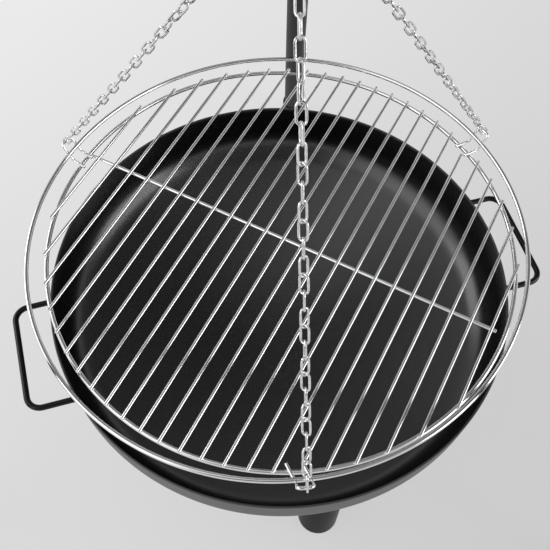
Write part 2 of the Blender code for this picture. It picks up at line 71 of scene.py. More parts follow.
# The studio is a pale floor that runs out to a pale horizon. Higher up the sky is brightest at the left
# and dim in front, behind and at the right; two soft boxes, one on each side, are lamps.
class Tone:
    """A shader socket that is used in sums like a number."""

    def __init__(self, tree, socket=None):
        self.tree, self.socket = tree, socket

    def node(self, kind, inputs=None, output=0, stops=None, **settings):
        """Add a node: its settings first, then a ramp's stops, then values or links."""
        made = self.tree.nodes.new(kind)
        for key, value in settings.items():
            setattr(made, key, value)
        if stops:
            for knot, (place, shade) in zip(made.color_ramp.elements, stops):
                knot.position, knot.color = place, (shade, shade, shade, 1.0)
            for place, shade in stops[2:]:
                made.color_ramp.elements.new(place).color = (shade, shade, shade, 1.0)
        for key, value in (inputs or {}).items():
            if isinstance(value, Tone):
                self.tree.links.new(value.socket, made.inputs[key])
            else:
                made.inputs[key].default_value = value
        return Tone(self.tree, made.outputs[output] if made.outputs else None)

    def maths(self, operation, first, second):
        return self.node("ShaderNodeMath", {0: first, 1: second}, operation=operation)

    def __add__(self, other):
        return self.maths("ADD", self, other)

    def __radd__(self, other):
        return self.maths("ADD", other, self)

    def __sub__(self, other):
        return self.maths("SUBTRACT", self, other)

    def __mul__(self, other):
        return self.maths("MULTIPLY", self, other)

    def ease(self, low, high):
        """0 below low, 1 above high and a smooth step between; low may be above high."""
        return self.node(
            "ShaderNodeMapRange", {"Value": self, "From Min": low, "From Max": high},
            interpolation_type="SMOOTHSTEP",
        )

    def blend(self, low, high):
        """Colour low where this is 0 and colour high where it is 1."""
        return self.node("ShaderNodeMix", {0: self, 6: low, 7: high}, output=2, data_type="RGBA")

    def noise(self, place, scale, detail=3.0, roughness=0.5):
        """Even noise of a number of spots per metre, about 0.5."""
        return self.node(
            "ShaderNodeTexNoise",
            {"Vector": place, "Scale": scale, "Detail": detail, "Roughness": roughness},
        )


def grey(shade, blue=1.0):
    """A grey as a colour; blue multiplies its last part."""
    return (shade, shade, shade * blue, 1.0)


PALE = 0.70
# Brightness of the sky by azimuth, as a share of a turn that starts at the left and goes by the front
SKY_ROUND = (
    (0.0, 0.64), (1.0, 0.64), (0.03, 0.93), (0.13, 0.93), (0.20, 0.08), (0.33, 0.04), (0.40, 0.22),
    (0.48, 0.22), (0.54, 0.03), (0.68, 0.04), (0.80, 0.12), (0.90, 0.18), (0.96, 0.46),
)
world = bpy.data.worlds.new("studio")
bpy.context.scene.world = world
world.use_nodes = True
world.node_tree.nodes.clear()
sky = Tone(world.node_tree)
direction = sky.node("ShaderNodeTexCoord", output="Generated")
height = sky.node("ShaderNodeSeparateXYZ", {0: direction}, output="Z")
sideways = sky.node("ShaderNodeSeparateXYZ", {0: direction}, output="X")
around = sky.node("ShaderNodeTexGradient", {"Vector": direction}, output=1, gradient_type="RADIAL")
# Bands of the sky by height, which is the sine of the angle over the horizon
brightest = height.ease(0.85, 0.66).blend(grey(1.1), grey(2.2))
ramp = sky.node("ShaderNodeValToRGB", {"Fac": around}, stops=SKY_ROUND)
upper = ramp.blend((0.07, 0.07, 0.071, 1), brightest)
overhead = sideways.ease(0.3, -0.3).blend(grey(0.24), grey(0.96))
upper = height.ease(0.90, 0.99).blend(upper, overhead)
dome = height.ease(0.40, 0.20).blend(upper, grey(PALE))
sky.node("ShaderNodeOutputWorld", {0: sky.node("ShaderNodeBackground", {"Color": dome})})

FLOOR_RADIUS = 30
FLOOR_CORNERS = 96
# The floor's colour carries a painted falloff of light: lighter towards the back left, darker towards the
# front right.
FLOOR_SLOPE = (-0.1273, 0.0788, 0.0)
FLOOR_SLOPE_END = 0.13
FLOOR_PAINTED_SHADE = (0.626, 0.624, 0.628, 1)
FLOOR_PAINTED_LIGHT = (0.886, 0.883, 0.888, 1)
PLAIN_SHARE = 0.75
floor_mesh = bpy.data.meshes.new("floor")
turns = np.linspace(0, 2 * np.pi, FLOOR_CORNERS, endpoint=False)
rim = np.stack([FLOOR_RADIUS * np.cos(turns), FLOOR_RADIUS * np.sin(turns), 0 * turns], axis=-1)
floor_mesh.from_pydata(rim.tolist(), [], [list(range(FLOOR_CORNERS))])
floor = bpy.data.objects.new("floor", floor_mesh)
bpy.context.scene.collection.objects.link(floor)
floor_paint = bpy.data.materials.new("floor_paint")
floor_paint.use_nodes = True
floor_paint.node_tree.nodes.clear()
base = Tone(floor_paint.node_tree)
place = base.node("ShaderNodeTexCoord", output="Object")
far = base.node("ShaderNodeVectorMath", {0: place}, output=1, operation="LENGTH").ease(1.6, 4.5)
slope = base.node("ShaderNodeVectorMath", {0: place, 1: FLOOR_SLOPE}, output=1, operation="DOT_PRODUCT")
share = base.node(
    "ShaderNodeMapRange", {"Value": slope, "From Min": -FLOOR_SLOPE_END, "From Max": FLOOR_SLOPE_END},
)
colour = share.blend(FLOOR_PAINTED_SHADE, FLOOR_PAINTED_LIGHT)
# The picture, gloss and glass see a share of the floor's colour with its painted falloff; the rest is lit and
# shadowed
views = ("Is Camera Ray", "Is Glossy Ray", "Is Transmission Ray")
direct, gloss, through = (base.node("ShaderNodeLightPath", output=view) for view in views)
seen = base.maths("MINIMUM", direct + gloss + through, 1.0) * PLAIN_SHARE
paint = base.node("ShaderNodeBsdfDiffuse", {"Color": colour})
plain = base.node("ShaderNodeEmission", {"Color": colour})
near = base.node("ShaderNodeMixShader", {0: seen, 1: paint, 2: plain})
horizon = base.node("ShaderNodeEmission", {"Color": grey(PALE)})
base.node("ShaderNodeOutputMaterial", {0: base.node("ShaderNodeMixShader", {0: far, 1: near, 2: horizon})})
floor_mesh.materials.append(floor_paint)

LAMP_DISTANCE = 3.5
LAMP_AIM = (0, AXIS_Y, 0.35)
for name, azimuth, height_angle, width, length, radiance in (
    ("left_box", 160.0, 26.0, 1.8, 1.5, 2.6),
    ("right_box", 348.0, 22.0, 2.6, 2.1, 2.8),
):
    lamp = bpy.data.lights.new(name, "AREA")
    lamp.shape = "RECTANGLE"
    lamp.size, lamp.size_y = width, length
    lamp.energy = radiance * math.pi * width * length
    lit = bpy.data.objects.new(name, lamp)
    bpy.context.scene.collection.objects.link(lit)
    turn, lift = math.radians(azimuth), math.radians(height_angle)
    away = Vector((math.cos(turn) * math.cos(lift), math.sin(turn) * math.cos(lift), math.sin(lift)))
    lit.location = Vector(LAMP_AIM) + LAMP_DISTANCE * away
    lit.rotation_euler = (-away).to_track_quat("-Z", "Y").to_euler()


# The fire bowl is a dished end: a shallow crown pressed from 2.5 mm steel sheet, turned up through a
# knuckle into a short wall with a sheared, deburred rim, and sprayed with black heat-proof lacquer.
BOWL_RADIUS = 0.300
BOWL_SHEET = 0.0025
WALL_HEIGHT = 0.038
WALL_DRAFT = math.radians(2.5)
KNUCKLE = 0.060
CROWN = 0.600
BOWL_TURN = math.radians(19.6)
LIP_ROUND = 0.0007
BOWL_COLUMNS = 288
SHARP_EDGE = math.radians(35.0)


def bowl_line(grow, count=90):
    """Radius and height of the bowl's outer line, moved out by grow, from the rim to the middle.

    A straight wall leans in by its draft, an arc of the knuckle's radius is tangent to it, and an
    arc of the crown's radius is tangent to both the knuckle and the level at the middle.
    """
    knuckle_x = BOWL_RADIUS - WALL_HEIGHT * math.tan(WALL_DRAFT) - KNUCKLE * math.cos(WALL_DRAFT)
    knuckle_z = KNUCKLE * math.sin(WALL_DRAFT) - WALL_HEIGHT
    crown_z = knuckle_z + math.sqrt((CROWN - KNUCKLE) ** 2 - knuckle_x**2)
    meet = math.asin(knuckle_x / (CROWN - KNUCKLE))
    turn = np.linspace(WALL_DRAFT, math.pi / 2 - meet, count // 3)
    arc = np.stack([knuckle_x + (KNUCKLE + grow) * np.cos(turn), knuckle_z - (KNUCKLE + grow) * np.sin(turn)])
    turn = np.linspace(meet, 0, count // 2)[1:]
    dish = np.stack([(CROWN + grow) * np.sin(turn), crown_z - (CROWN + grow) * np.cos(turn)])
    top = np.array([[BOWL_RADIUS + grow / math.cos(WALL_DRAFT)], [0.0]])
    wall = top + (arc[:, :1] - top) * np.linspace(0, 1, 8)[:-1]
    return np.concatenate([wall, arc, dish], axis=1)


def turned(radius, height, count, centre):
    """Rows of points: a line of radius and height turned about an upright axis."""
    turn = 2 * np.pi * np.arange(count) / count
    ring = np.stack([np.cos(turn), np.sin(turn), 0 * turn], axis=-1)
    rows = np.asarray(radius)[:, None, None] * ring
    rows[..., 2] += np.asarray(height)[:, None]
    return rows + np.asarray(centre)


def piece(name, grids, finish, body, stands_for, marks=None):
    """One piece from closed skins, each a grid of rows of points that run round a section.

    Each face joins a point to the next one round and to the two after them along. Points that
    coincide, as at a pole or where a ring closes, are made one, and a skin whose signed volume is
    negative is turned round. UV holds the length along and the share of the turn round.
    """
    points, corners, wraps, start = [], [], [], 0
    for grid in grids:
        rows, cols = grid.shape[:2]
        index = start + np.arange(rows * cols).reshape(rows, cols)
        after = np.roll(index, -1, axis=1)
        quads = np.stack([index[:-1], after[:-1], after[1:], index[1:]], axis=-1).reshape(-1, 4)
        flat = grid.reshape(-1, 3)
        a, b, c, d = (flat[quads[:, k] - start] - flat.mean(axis=0) for k in range(4))
        volume = np.einsum("ij,ij->", a, np.cross(b, c)) + np.einsum("ij,ij->", a, np.cross(c, d))
        along = np.concatenate([[0], np.cumsum(np.linalg.norm(np.diff(grid, axis=0), axis=2).mean(axis=1))])
        u = np.broadcast_to(along[:, None], (rows, cols))
        v = np.broadcast_to(np.arange(cols) / cols, (rows, cols))
        u4 = np.stack([u[:-1], u[:-1], u[1:], u[1:]], axis=-1).reshape(-1, 4)
        v4 = np.stack([v[:-1], v[:-1] + 1 / cols, v[1:] + 1 / cols, v[1:]], axis=-1).reshape(-1, 4)
        wrap = np.stack([u4, v4], axis=-1)
        points.append(flat)
        corners.append(quads if volume > 0 else quads[:, ::-1])
        wraps.append(wrap if volume > 0 else wrap[:, ::-1])
        start += rows * cols
    points, corners, wraps = (np.concatenate(part) for part in (points, corners, wraps))
    places = np.round(points / 2e-7).astype(np.int64)
    _, first, same = np.unique(places, axis=0, return_index=True, return_inverse=True)
    corners = same.reshape(-1)[corners]
    short = corners == np.roll(corners, -1, axis=1)
    whole = ~short.any(axis=1)
    faces, face_wraps = corners[whole].tolist(), [wraps[whole].reshape(-1, 2)]
    for k in range(4):
        single = short[:, k] & (short.sum(axis=1) == 1)
        keep = [j for j in range(4) if j != k]
        faces += corners[single][:, keep].tolist()
        face_wraps.append(wraps[single][:, keep].reshape(-1, 2))
    mesh = bpy.data.meshes.new(name)
    mesh.from_pydata(points[first].tolist(), [], faces)
    wrap_values = np.concatenate(face_wraps).astype(np.float32).ravel()
    mesh.uv_layers.new(name="wrap").uv.foreach_set("vector", wrap_values)
    if marks is not None:
        mark = mesh.attributes.new("mark", "FLOAT", "POINT")
        mark.data.foreach_set("value", np.asarray(marks, np.float32).ravel()[first])
    mesh.shade_smooth()
    mesh.set_sharp_from_angle(angle=SHARP_EDGE)
    mesh.materials.append(finish)
    made = bpy.data.objects.new(name, mesh)
    bpy.context.scene.collection.objects.link(made)
    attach(made, body)
    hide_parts(*stands_for)


def finish(name, metallic=0.0, **fixed):
    """A new Principled material: itself, its tree to write in, object coordinates and the shader."""
    made = bpy.data.materials.new(name)
    made.use_nodes = True
    shader = made.node_tree.nodes["Principled BSDF"]
    shader.inputs["Metallic"].default_value = metallic
    for key, value in fixed.items():
        shader.inputs[key.replace("_", " ")].default_value = value
    tone = Tone(made.node_tree)
    return made, tone, tone.node("ShaderNodeTexCoord", output="Object"), shader


def put(tone, shader, colour, rough, bump, strength, distance):
    """Link a colour, a roughness and a height to the shader."""
    relief = tone.node("ShaderNodeBump", {"Strength": strength, "Distance": distance, "Height": bump})
    tone.tree.links.new(colour.socket, shader.inputs["Base Color"])
    tone.tree.links.new(rough.socket, shader.inputs["Roughness"])
    tone.tree.links.new(relief.socket, shader.inputs["Normal"])


def lacquer(name, dark, light, rough, inside=None, index=1.8):
    """Sprayed heat-proof lacquer: faint cloudiness, orange peel, and a finer inner coat, painted much darker
    as shade.

    The inner coat's painted shade and its roughness apply where the piece's marks are 1.
    """
    made, tone, place, shader = finish(name, IOR=index)
    cloud = tone.noise(place, 9.0, 4.0)
    peel = tone.noise(place, 900.0, 2.0)
    grain = tone.noise(place, 3200.0, 1.0)
    coat = cloud.ease(0.25, 0.75).blend(grey(dark, 1.03), grey(light, 1.03))
    sheen = rough + (cloud - 0.5) * 0.10 + (grain - 0.5) * 0.06
    if inside:
        mask = tone.node("ShaderNodeAttribute", attribute_name="mark", output=2)
        inner_painted_shade, inner_rough = inside
        coat = mask.blend(coat, grey(inner_painted_shade, 1.02))
        sheen = sheen + mask * (inner_rough - rough)
    put(tone, shader, coat, sheen, peel + grain * 0.3, 0.09, 0.0004)
    return made


# The bowl's inside is painted about ten times darker than its outside: painted shade in the bowl's hollow.
BOWL_LACQUER = lacquer("bowl_lacquer", 0.020, 0.026, 0.42, inside=(0.0020, 0.25))
outer = bowl_line(0.0)
inner = bowl_line(-BOWL_SHEET)[:, ::-1]
lip = np.linspace(0, np.pi, 9)[1:-1]
lip_line = np.stack([
    (inner[0, -1] + BOWL_RADIUS) / 2 - BOWL_SHEET / 2 * np.cos(lip),
    -LIP_ROUND + LIP_ROUND * np.sin(lip),
])
below_lip = [[0], [LIP_ROUND]]
profile = np.concatenate([
    inner[:, :-1], inner[:, -1:] - below_lip, lip_line, outer[:, :1] - below_lip, outer[:, 1:],
], axis=1)
bowl_grid = turned(profile[0], profile[1], BOWL_COLUMNS, (0, AXIS_Y, RIM_HEIGHT))
inside_mark = (np.arange(profile.shape[1]) < inner.shape[1] - 1).astype(float)
piece(
    "bowl_shell", [bowl_grid], BOWL_LACQUER, "stand", ["fire_bowl"],
    marks=np.broadcast_to(inside_mark[:, None], bowl_grid.shape[:2]),
)


# Three feet of round steel tube stand the bowl on the ground. Each is cut to the bowl's underside,
# welded on all round, closed at the bottom with a pressed-in cap, and lacquered with the bowl.
FOOT_TUBE = 0.03015
FOOT_CIRCLE = 0.231
FOOT_EDGE = 0.0022
FOOT_CENTRE_DISC = 0.012
FOOT_UNDER_BOWL = 0.0002
FOOT_COVER_UNDER_BOWL = 0.0008
FOOT_BEAD = 0.0016
FOOT_BEAD_DROP = 0.0004


def underside(place):
    """Height of the bowl's outer surface over the ground, at points given by their X and Y."""
    line = bowl_line(0.0)[:, ::-1]
    return RIM_HEIGHT + np.interp(np.hypot(place[:, 0], place[:, 1] - AXIS_Y), line[0], line[1])


def weld_bead(seam, outward, size, waves, depth, start, sides):
    """A bead along a closed seam: circles across it whose radius waves by a share of the size."""
    turn = 2 * np.pi * np.arange(len(seam)) / len(seam)
    across = np.linspace(0, 2 * np.pi, sides + 1)[:, None, None]
    ripple = 1 + depth * np.sin(waves * turn + start)[None, :, None]
    return seam[None] + size * ripple * (np.cos(across) * outward[None] + np.sin(across) * [0, 0, 1.0])


FOOT_LACQUER = lacquer("foot_lacquer", 0.003, 0.005, 0.28, index=1.07)
turn = 2 * np.pi * np.arange(72) / 72
ring = np.stack([np.cos(turn), np.sin(turn), 0 * turn], axis=-1)
rounding = np.linspace(0, np.pi / 2, 6)
low = np.stack([FOOT_TUBE - FOOT_EDGE * (1 - np.sin(rounding)), FOOT_EDGE * (1 - np.cos(rounding))])
for number, azimuth in enumerate((-90, 30, 150), start=1):
    angle = math.radians(azimuth) + BOWL_TURN
    centre = np.array([FOOT_CIRCLE * math.cos(angle), AXIS_Y + FOOT_CIRCLE * math.sin(angle), 0.0])
    edge = centre + FOOT_TUBE * ring
    top = underside(edge) + FOOT_UNDER_BOWL
    rows = [centre + 0 * ring, centre + FOOT_CENTRE_DISC * ring]
    rows += [centre + radius * ring + [0, 0, height] for radius, height in low.T]
    for share in np.linspace(0.03, 1, 12):
        row = edge.copy()
        row[:, 2] = FOOT_EDGE + (top - FOOT_EDGE) * share
        rows.append(row)
    seam = edge.copy()
    seam[:, 2] = top
    for share in (0.9, 0.75, 0.5, 0.25, 0.0):
        row = centre + (edge - centre) * share
        row[:, 2] = underside(row) + FOOT_COVER_UNDER_BOWL
        rows.append(row)
    bead = weld_bead(seam - [0, 0, FOOT_BEAD_DROP], ring, FOOT_BEAD, 34, 0.10, number, 10)
    piece(f"foot_tube_{number}", [np.stack(rows), bead], FOOT_LACQUER, "stand",
          [f"bowl_foot_{number}"])


# Two handles of 8 mm round bar are bent to a flat U and welded on at the foot of the bowl's wall. They
# are lacquered with the bowl, a little glossier than it; the right one reaches farther out.
HANDLE_ROD = 0.004
HANDLE_DROP = 0.044
HANDLE_HALF = 0.074
HANDLE_BEND = 0.018
HANDLE_SEAT_RADIUS = 0.2977
HANDLE_SINK = 0.0006
HANDLE_BEAD = 0.0018
HANDLE_BEAD_LENGTH = 0.0042
HANDLE_BEAD_SUNK = 0.0008


def bent(points, radius, steps=8):
    """Path through corner points with an arc tangent to both sides at each inner corner."""
    points = np.asarray(points, float)
    path = [points[:1]]
    for before, corner, after in zip(points, points[1:], points[2:]):
        back = (before - corner) / np.linalg.norm(before - corner)
        ahead = (after - corner) / np.linalg.norm(after - corner)
        half = math.acos(np.clip(back @ ahead, -1, 1)) / 2
        middle = corner + (back + ahead) / np.linalg.norm(back + ahead) * radius / math.sin(half)
        first = corner + back * radius / math.tan(half) - middle
        last = corner + ahead * radius / math.tan(half) - middle
        span = math.pi - 2 * half
        share = np.linspace(0, 1, steps + 1)[:, None]
        turned_part = np.sin((1 - share) * span) * first + np.sin(share * span) * last
        path.append(middle + turned_part / math.sin(span))
    return np.concatenate(path + [points[-1:]])


def wire(path, radius, sides, square, closed=False, chamfer=0.12, swell=None):
    """Rows of points round a path: a circle square to it, its first point on the side of 'square'.

    An open wire gets sawn ends with a small chamfer; a closed one repeats its first row. A swell
    multiplies the radius along the path.
    """
    path = np.asarray(path, float)
    if closed:
        ahead = np.roll(path, -1, axis=0) - np.roll(path, 1, axis=0)
    else:
        ahead = np.gradient(path, axis=0)
    ahead /= np.linalg.norm(ahead, axis=1, keepdims=True)
    radii = radius * (np.ones(len(path)) if swell is None else swell)
    if closed:
        path, ahead, radii = (np.concatenate([part, part[:1]]) for part in (path, ahead, radii))
    else:
        cut = chamfer * radius
        path = np.concatenate([
            path[:1], path[:1], path[:1] + ahead[:1] * cut, path[1:-1],
            path[-1:] - ahead[-1:] * cut, path[-1:], path[-1:],
        ])
        ahead = np.concatenate([ahead[:1], ahead[:1], ahead, ahead[-1:], ahead[-1:]])
        radii = np.concatenate([[0, radii[0] - cut], radii, [radii[-1] - cut, 0]])
    side = np.asarray(square, float) - (ahead @ np.asarray(square, float))[:, None] * ahead
    side /= np.linalg.norm(side, axis=1, keepdims=True)
    other = np.cross(ahead, side)
    turn = 2 * np.pi * np.arange(sides) / sides
    circle = np.cos(turn)[None, :, None] * side[:, None] + np.sin(turn)[None, :, None] * other[:, None]
    return path[:, None] + radii[:, None, None] * circle


def spread(path, step):
    """The same path with extra points, so that none of its straight runs is longer than a step."""
    path = np.asarray(path, float)
    run = np.linalg.norm(np.diff(path, axis=0), axis=1)
    place = np.concatenate([[0], np.cumsum(run)])
    extra = [np.linspace(a, b, max(2, math.ceil((b - a) / step) + 1))[:-1] for a, b in zip(place, place[1:])]
    wanted = np.concatenate(extra + [place[-1:]])
    return np.stack([np.interp(wanted, place, path[:, k]) for k in range(3)], axis=-1)


def about_upright(points, angle):
    """Points turned by an angle about the upright axis through the origin."""
    c, s = math.cos(angle), math.sin(angle)
    return np.asarray(points, float) @ np.array([[c, s, 0], [-s, c, 0], [0, 0, 1]])


HANDLE_LACQUER = lacquer("handle_lacquer", 0.003, 0.005, 0.26, index=1.4)
start = math.sqrt(HANDLE_SEAT_RADIUS**2 - HANDLE_HALF**2) - HANDLE_SINK
for name, side, reach in (("right", 1, 0.359), ("left", -1, 0.350)):
    corners = np.array([
        (start, -HANDLE_HALF, 0), (reach, -HANDLE_HALF, 0), (reach, HANDLE_HALF, 0), (start, HANDLE_HALF, 0),
    ])
    path = spread(bent(corners * [side, side, 1], HANDLE_BEND, 10), 0.012)
    path = about_upright(path, BOWL_TURN) + [0, AXIS_Y, RIM_HEIGHT - HANDLE_DROP]
    skins = [wire(path, HANDLE_ROD, 20, (0, 0, 1))]
    for end, inward in ((path[0], path[0] - path[1]), (path[-1], path[-1] - path[-2])):
        inward = inward / np.linalg.norm(inward)
        line = np.linspace(-0.0032, HANDLE_BEAD_SUNK, 7)
        fill = np.clip((line + HANDLE_BEAD_LENGTH - HANDLE_BEAD_SUNK) / HANDLE_BEAD_LENGTH, 0, 1)
        size = HANDLE_ROD + HANDLE_BEAD * np.sqrt(fill)
        skins.append(wire(end + line[:, None] * inward, 1.0, 24, (0, 0, 1), chamfer=0.0, swell=size))
    piece(f"handle_{name}_rod", skins, HANDLE_LACQUER, "stand", [f"bowl_handle_{name}"])


# The tripod's legs are plain round tubes, 32 mm across, lacquered dark. They lean to one apex, plug
# into the head's sockets, and stand in plastic end caps that are cut level with the ground.
APEX = 1.675
LEAN = math.radians(19.5)
LEG = 0.016
LEG_AZIMUTHS = {"back": 90.0, "left": 210.0, "right": 330.0}
SOCKET_CLEARANCE = 0.0005
SOCKET_WALL = 0.003
CAP_FLOOR = 0.006
HEAD_SPREAD = 0.044
PLATE_THICK = 0.006
AIR = 0.0003
PLATE_LOW = APEX - HEAD_SPREAD / math.tan(LEAN)
PLATE_TOP = PLATE_LOW + PLATE_THICK


def leg_place(azimuth, distance, lift=0.0):
    """Point at a distance from the apex down a leg's axis, moved outward square to the leg."""
    turn = math.radians(azimuth)
    out = distance * math.sin(LEAN) + lift * math.cos(LEAN)
    return np.array([
        out * math.cos(turn), AXIS_Y + out * math.sin(turn),
        APEX - distance * math.cos(LEAN) + lift * math.sin(LEAN),
    ])


def down_to(height):
    """Distance from the apex to where a leg's axis is at a height."""
    return (APEX - height) / math.cos(LEAN)


def leg_frame(azimuth, count):
    """A leg's direction down, a level direction square to it, and a unit circle round the leg."""
    turn = math.radians(azimuth)
    axis = leg_place(azimuth, 1.0) - leg_place(azimuth, 0.0)
    side = np.array([math.cos(turn + math.pi / 2), math.sin(turn + math.pi / 2), 0.0])
    other = np.cross(axis, side)
    around = 2 * np.pi * np.arange(count) / count
    return axis, side, np.cos(around)[:, None] * side + np.sin(around)[:, None] * other


LEG_LACQUER = lacquer("leg_lacquer", 0.004, 0.006, 0.50, index=1.35)
leg_end = down_to(LEG * math.sin(LEAN) + CAP_FLOOR)
leg_start = down_to(PLATE_LOW - (LEG + SOCKET_CLEARANCE) * math.sin(LEAN) - SOCKET_WALL) + AIR
for name, azimuth in LEG_AZIMUTHS.items():
    level = leg_frame(azimuth, 4)[1]
    path = np.stack([leg_place(azimuth, step) for step in np.linspace(leg_start, leg_end, 40)])
    piece(f"leg_{name}_tube", [wire(path, LEG, 64, level, chamfer=0.05)], LEG_LACQUER, "stand",
          [f"tripod_leg_{name}"])


# Each end cap is a cup of soft black plastic with a rolled upper lip and four grip ribs. Its bottom
# is cut level with the ground, so the leg can lean and the cap still stands flat.
CAP_HEIGHT = 0.045
CAP_MOUTH = LEG + AIR
CAP = CAP_MOUTH + 0.003
CAP_NECK = CAP - 0.0006
CAP_RIB = CAP - 0.0001
CAP_INSIDE = 0.012
RIBS = 4
RIB_START = 0.0080
RIB_PITCH = 0.0070
RIB_WIDTH = 0.0032
RIB_EDGE = 0.0006
SKIRT_START = 0.0360
SKIRT_END = 0.0372
SKIRT_TAPER = 0.995

CAP_PLASTIC, tone, place, shader = finish("cap_plastic")
grit = tone.noise(place, 1500.0, 3.0)
wear = tone.noise(place, 30.0, 3.0)
put(tone, shader, wear.ease(0.3, 0.8).blend((0.014, 0.014, 0.015, 1), (0.024, 0.024, 0.025, 1)),
    0.50 + (grit - 0.5) * 0.15 + (wear - 0.5) * 0.1, grit, 0.25, 0.0003)
cap_line = [
    (CAP_MOUTH + 0.0002, CAP_INSIDE), (CAP_MOUTH, 0.0004), (CAP_MOUTH + 0.0006, 0.0), (CAP - 0.0008, 0.0002),
    (CAP, 0.0012), (CAP, 0.0040), (CAP_NECK, 0.0048),
]
for number in range(RIBS):
    first = RIB_START + RIB_PITCH * number
    cap_line += [(CAP_NECK, first), (CAP_RIB, first + RIB_EDGE)]
    cap_line += [(CAP_RIB, first + RIB_WIDTH - RIB_EDGE), (CAP_NECK, first + RIB_WIDTH)]
cap_line += [(CAP_NECK, SKIRT_START), (CAP_RIB, SKIRT_END)]
for name, azimuth in LEG_AZIMUTHS.items():
    axis, _, circle = leg_frame(azimuth, 72)
    lip = leg_place(azimuth, leg_end - CAP_HEIGHT)
    rows = [lip + axis * distance + radius * circle for radius, distance in cap_line]
    skirt = lip + axis * SKIRT_END + CAP * SKIRT_TAPER * circle
    ground = skirt + axis * (skirt[:, 2:] / -axis[2])
    rows += [skirt + (ground - skirt) * share for share in np.linspace(0.1, 1, 5)]
    middle = lip + axis * (lip[2] / -axis[2])
    rows += [middle + (ground - middle) * 0.6, np.broadcast_to(middle, ground.shape)]
    inside = np.broadcast_to(lip + axis * CAP_INSIDE, (1,) + circle.shape)
    grid = np.concatenate([inside, np.stack(rows)])
    grid[..., 2] = np.maximum(grid[..., 2], 0.0)
    piece(f"cap_{name}_cup", [grid], CAP_PLASTIC, "stand", [f"leg_cap_{name}"])


# The head is a round steel plate with a hole for the chain. Three short sockets are welded under it
# at the legs' lean, and the whole is lacquered; a clamping screw goes through each socket.
SOCKET = LEG + SOCKET_CLEARANCE + SOCKET_WALL
SOCKET_LENGTH = 0.110
SOCKET_BORE = LEG + 0.0006
SOCKET_BORE_DEPTH = 0.060
SOCKET_SINK = 0.001
SOCKET_BEAD = 0.0020
SOCKET_BEAD_DROP = 0.0002
HEAD_RADIUS = HEAD_SPREAD + SOCKET + 0.003
HEAD_HOLE = 0.014
EDGE_ROUND = 0.0008
MOUTH_ROUND = 0.0007

HEAD_LACQUER = lacquer("head_lacquer", 0.010, 0.014, 0.36)
plate_line = np.array([
    (HEAD_HOLE + EDGE_ROUND, 0.0), (HEAD_HOLE, EDGE_ROUND),
    (HEAD_HOLE, PLATE_THICK - EDGE_ROUND), (HEAD_HOLE + EDGE_ROUND, PLATE_THICK),
    (HEAD_RADIUS - EDGE_ROUND, PLATE_THICK), (HEAD_RADIUS, PLATE_THICK - EDGE_ROUND),
    (HEAD_RADIUS, EDGE_ROUND), (HEAD_RADIUS - EDGE_ROUND, 0.0), (HEAD_HOLE + EDGE_ROUND, 0.0),
]).T
skins = [turned(plate_line[0], plate_line[1], 144, (0, AXIS_Y, PLATE_LOW))]
for azimuth in LEG_AZIMUTHS.values():
    axis, _, circle = leg_frame(azimuth, 64)
    centre = leg_place(azimuth, down_to(PLATE_LOW))
    top = centre + SOCKET * circle
    top = top + axis * ((top[:, 2:] - PLATE_LOW - SOCKET_SINK) / -axis[2])
    low = centre + axis * SOCKET_LENGTH
    rows = [top]
    rows += [top + (low + SOCKET * circle - top) * share for share in np.linspace(0.1, 0.9, 6)]
    for radius, back in (
        (SOCKET, EDGE_ROUND), (SOCKET - EDGE_ROUND, 0.0), (SOCKET_BORE + MOUTH_ROUND, 0.0),
        (SOCKET_BORE, MOUTH_ROUND), (SOCKET_BORE, SOCKET_BORE_DEPTH),
    ):
        rows.append(low - axis * back + radius * circle)
    rows.append(np.broadcast_to(low - axis * SOCKET_BORE_DEPTH, top.shape))
    cover = np.broadcast_to(centre, (1,) + top.shape) + [0, 0, SOCKET_SINK]
    skins.append(np.concatenate([cover, np.stack(rows)]))
    outward = circle * [1, 1, 0]
    outward /= np.linalg.norm(outward, axis=1, keepdims=True)
    seam = top.copy()
    seam[:, 2] = PLATE_LOW - SOCKET_BEAD_DROP
    skins.append(weld_bead(seam, outward, SOCKET_BEAD, 28, 0.12, math.radians(azimuth), 8))
piece("head_plate", skins, HEAD_LACQUER, "stand", ["tripod_head"])


# The clamping screws are zinc-plated hexagon screws, M8, that bear on the legs through the sockets.
# Each head has chamfered corners, a turned face and a plain washer face under it.
SCREW = 0.004
SCREW_DOWN = 0.055
SCREW_SHANK = 0.0090
SCREW_POINT = 0.0034
THREAD_START = 0.0010
THREAD_END = 0.0086
THREAD_PITCH = 0.00125
THREAD_DEPTH = 0.0006
HALF_FLATS = 0.0065
WASHER_FACE = 0.0058
WASHER_HEIGHT = 0.0003
TURNED_FACE = 0.0052

